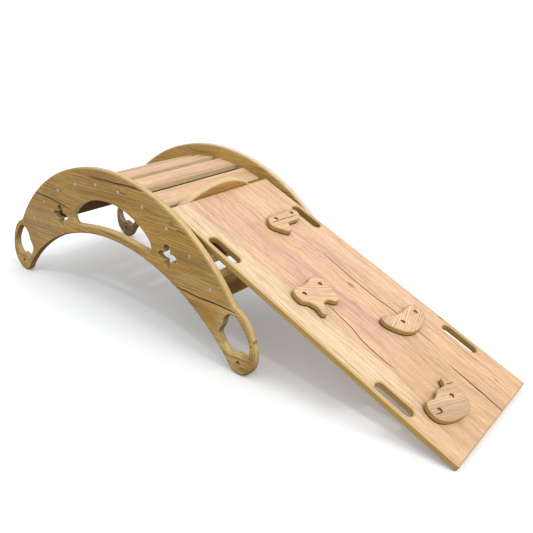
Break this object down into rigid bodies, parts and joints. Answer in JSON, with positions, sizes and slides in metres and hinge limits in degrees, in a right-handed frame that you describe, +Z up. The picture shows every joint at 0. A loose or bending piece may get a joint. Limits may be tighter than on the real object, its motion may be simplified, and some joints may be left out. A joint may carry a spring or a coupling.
{
  "type": "rocker arch with climbing ramp",
  "caption": "Child's wooden rocker arch with slats, flower cut-outs and a hook-on climbing ramp with holds and hand slots.",
  "frame": {"origin": "on the floor, under the middle of the box round the arch and the ramp", "axes": "+X down the ramp, +Y to the far side, +Z up"},
  "size_m": [1.4876, 0.424, 0.4059],
  "materials": {
    "panel_oak": "oiled oak board, satin",
    "slat_oak": "oiled oak board, satin",
    "ramp_oak": "oiled oak board, satin",
    "hook_oak": "oiled oak board, satin",
    "hold_oak": "oiled oak board, satin",
    "beech_dowel": "bare beech, fluted dowel rod",
    "screw_zinc": "zinc plated, satin"
  },
  "bodies": {
    "arch": {"near_side_panel": "panel_oak", "far_side_panel": "panel_oak", "slat_1": "slat_oak", "slat_2": "slat_oak", "slat_3": "slat_oak", "slat_4": "slat_oak", "slat_5": "slat_oak", "slat_6": "slat_oak", "slat_7": "slat_oak", "slat_8": "slat_oak", "slat_9": "slat_oak", "slat_10": "slat_oak", "near_panel_screws": "screw_zinc", "far_panel_screws": "screw_zinc", "near_slat_dowels": "beech_dowel", "far_slat_dowels": "beech_dowel"},
    "ramp": {"ramp_board": "ramp_oak", "hook_board": "hook_oak", "hook_board_screws": "screw_zinc", "boot_hold": "hold_oak", "bone_hold": "hold_oak", "pebble_hold": "hold_oak", "leaf_hold": "hold_oak", "hold_screws": "screw_zinc"}
  },
  "joints": [
    {"name": "ramp_lift", "type": "slide", "parent": "arch", "child": "ramp", "axis": [0.3879, 0, 0.9217], "range_m": [0, 0.15]}
  ]
}
